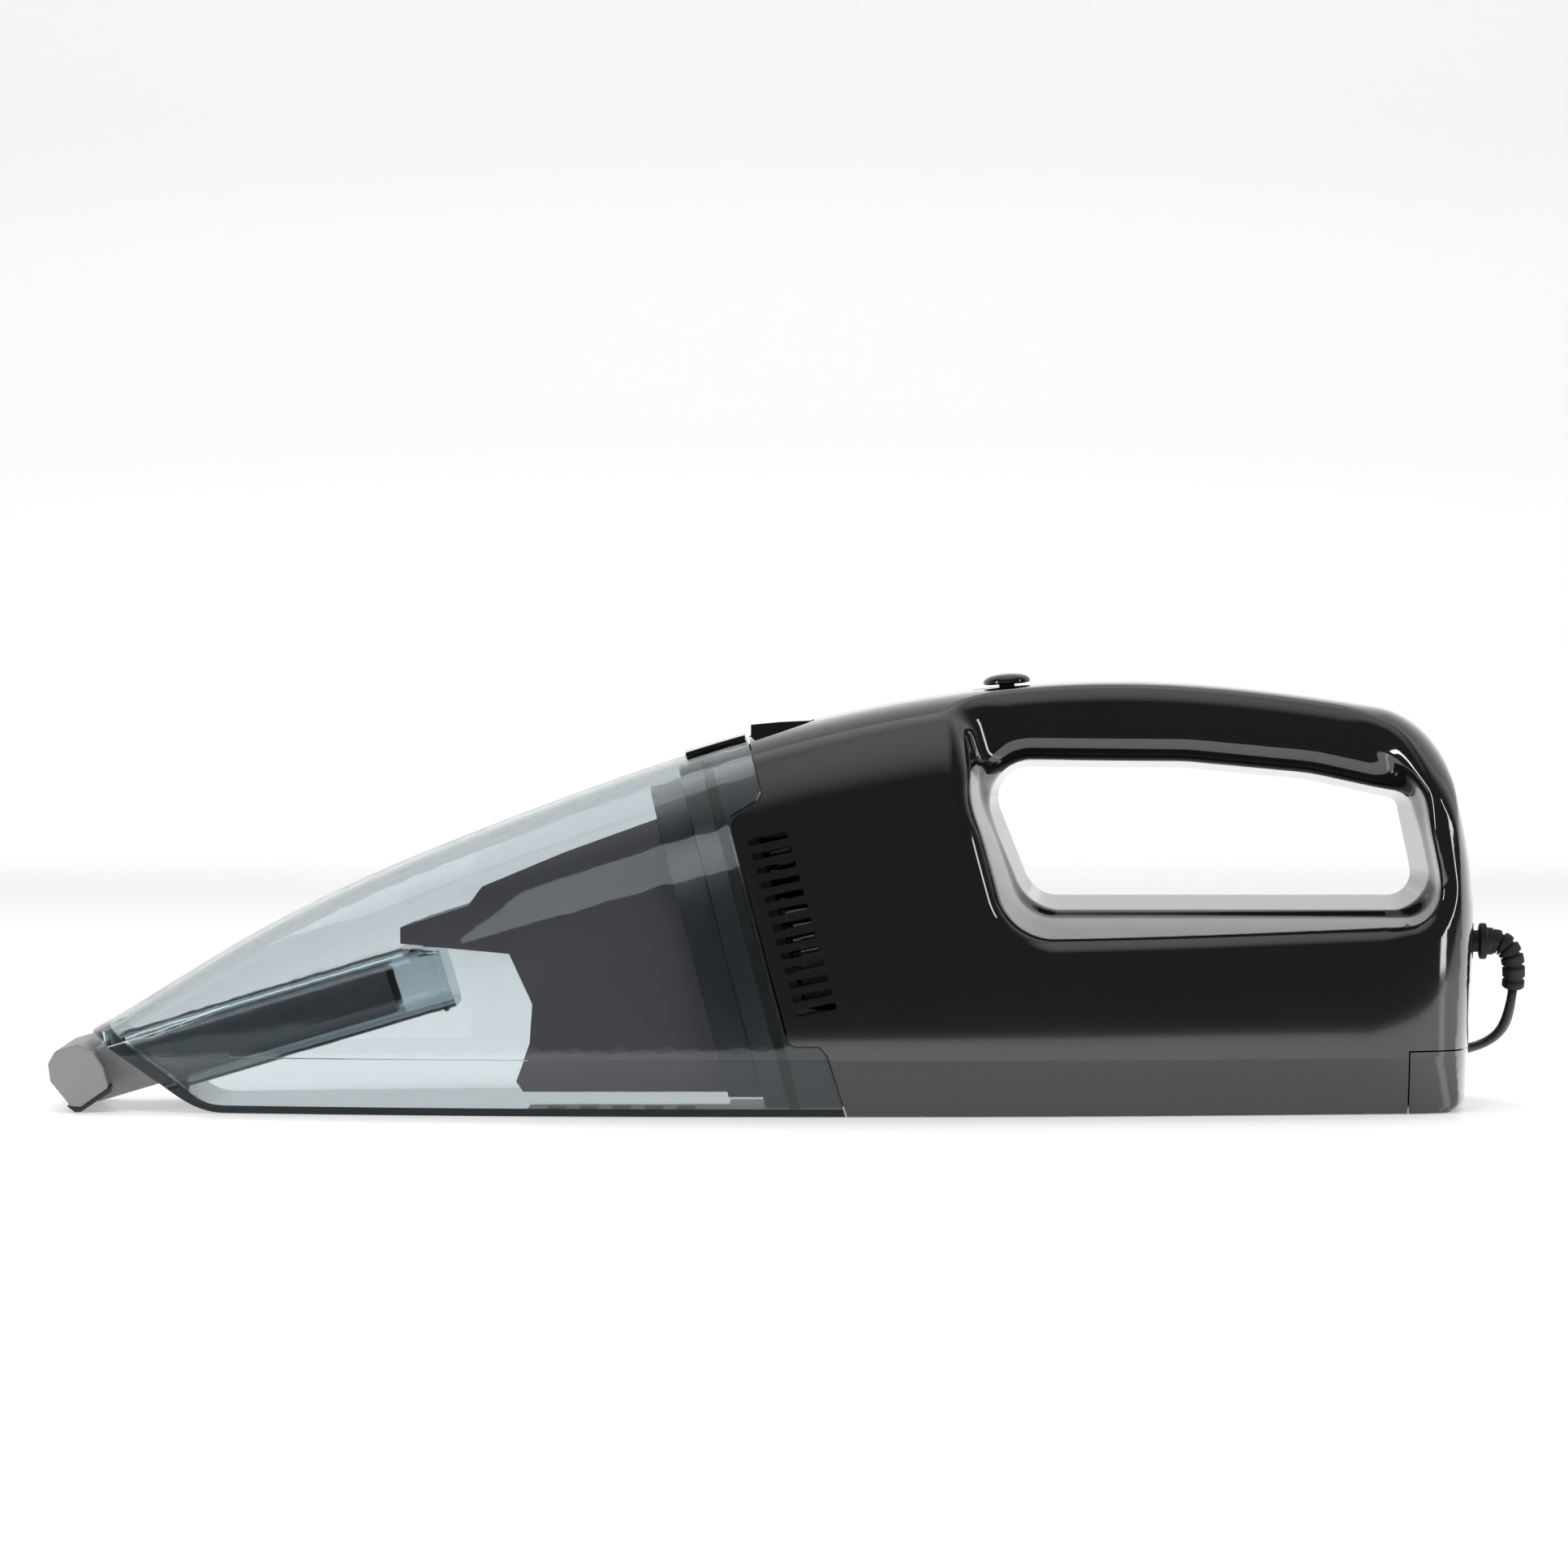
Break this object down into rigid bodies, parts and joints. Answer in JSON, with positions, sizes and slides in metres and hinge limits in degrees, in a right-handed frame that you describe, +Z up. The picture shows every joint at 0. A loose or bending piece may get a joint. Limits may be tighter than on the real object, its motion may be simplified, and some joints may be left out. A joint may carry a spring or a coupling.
{
  "type": "handheld vacuum",
  "caption": "Corded car vacuum with a clear tapering dust bowl, slide-out wet nozzle, black loop-handled housing, release button, power slide and a coiled lead with a 12 V plug",
  "frame": {"origin": "on the floor, under the middle of the vacuum without its loose lead", "axes": "+X from the nozzle to the rear, +Y to the vacuum's right as it points along -X, +Z up"},
  "size_m": [0.3821, 0.1945, 0.1127],
  "materials": {
    "body_black": "polished black",
    "screw_steel": "plain steel",
    "bowl_clear": "clear smoked plastic",
    "duct_clear": "clear plastic",
    "catch_black": "black",
    "nozzle_grey": "satin grey",
    "lip_rubber": "soft black rubber",
    "shroud_grey": "satin dark grey",
    "filter_fabric": "felted cloth",
    "frame_black": "satin",
    "bulkhead_black": "satin",
    "seal_rubber": "soft rubber",
    "fan_grey": "satin",
    "impeller_grey": "satin",
    "motor_steel": "plated steel",
    "magnet_dark": "sintered ferrite",
    "armature_steel": "laminated",
    "commutator_brass": "copper",
    "shaft_steel": "ground",
    "bearing_brass": "sintered bronze",
    "end_bell_black": "satin",
    "terminal_brass": "plain",
    "mount_rubber": "soft rubber",
    "knob_black": "black",
    "switch_black": "satin",
    "wire_red": "insulated wire",
    "button_black": "black",
    "spring_steel": "spring wire",
    "pin_steel": "ground",
    "cap_black": "polished black",
    "relief_black": "flexible plastic",
    "cord_black": "flexible insulation",
    "plug_black": "black",
    "plug_cap_black": "black",
    "tip_steel": "nickel plated",
    "contact_steel": "nickel plated",
    "fuse_glass": "glass fuse"
  },
  "bodies": {
    "housing": {"housing_left": "body_black", "housing_right": "body_black", "housing_screws": "screw_steel", "front_bulkhead": "bulkhead_black", "bowl_seal": "seal_rubber", "filter_shroud": "shroud_grey", "filter_cloth": "filter_fabric", "filter_frame": "frame_black", "fan_shroud": "fan_grey", "motor_can": "motor_steel", "motor_magnets": "magnet_dark", "front_bearing": "bearing_brass", "motor_end_bell": "end_bell_black", "motor_terminals": "terminal_brass", "motor_mount_ring": "mount_rubber", "slide_switch": "switch_black", "wiring": "wire_red", "release_spring": "spring_steel", "button_pin": "pin_steel", "rear_end_cap": "cap_black", "end_cap_screw": "screw_steel", "strain_relief": "relief_black", "cord": "cord_black", "cord_coil": "cord_black", "plug_body": "plug_black", "plug_cap": "plug_cap_black", "plug_spring": "spring_steel"},
    "bowl": {"dust_bowl": "bowl_clear", "inlet_duct": "duct_clear", "bowl_catch_plate": "catch_black"},
    "nozzle": {"wet_nozzle": "nozzle_grey", "squeegee_lip": "lip_rubber"},
    "rotor": {"impeller": "impeller_grey", "armature": "armature_steel", "commutator": "commutator_brass", "motor_shaft": "shaft_steel"},
    "button": {"release_button": "button_black"},
    "knob": {"power_knob": "knob_black"},
    "tip": {"plug_tip": "tip_steel", "plug_fuse": "fuse_glass"},
    "contact_left": {"plug_contact_left": "contact_steel"},
    "contact_right": {"plug_contact_right": "contact_steel"}
  },
  "joints": [
    {"name": "bowl_pull", "type": "slide", "parent": "housing", "child": "bowl", "axis": [-1, 0, 0], "range_m": [0, 0.13]},
    {"name": "nozzle_pull", "type": "slide", "parent": "bowl", "child": "nozzle", "axis": [-0.9588, 0, -0.284], "range_m": [0, 0.09]},
    {"name": "motor_spin", "type": "hinge", "parent": "housing", "child": "rotor", "pos_m": [0.0085, 0, 0.045], "axis": [0.9673, 0, 0.2538], "continuous": true},
    {"name": "release_press", "type": "hinge", "parent": "housing", "child": "button", "pos_m": [0.0096, 0, 0.098], "axis": [0, -1, 0], "range_deg": [0, 5], "stiffness_Nm_per_rad": 0.5, "deforming": ["release_spring"]},
    {"name": "power_slide", "type": "slide", "parent": "housing", "child": "knob", "axis": [1, 0, 0], "range_m": [-0.006, 0]},
    {"name": "plug_tip_press", "type": "slide", "parent": "housing", "child": "tip", "axis": [1, 0, 0], "range_m": [0, 0.002], "stiffness_N_per_m": 1500},
    {"name": "contact_left_press", "type": "slide", "parent": "housing", "child": "contact_left", "axis": [0, 1, 0], "range_m": [0, 0.0006], "stiffness_N_per_m": 3000},
    {"name": "contact_right_press", "type": "slide", "parent": "housing", "child": "contact_right", "axis": [0, -1, 0], "range_m": [0, 0.0006], "stiffness_N_per_m": 3000}
  ]
}
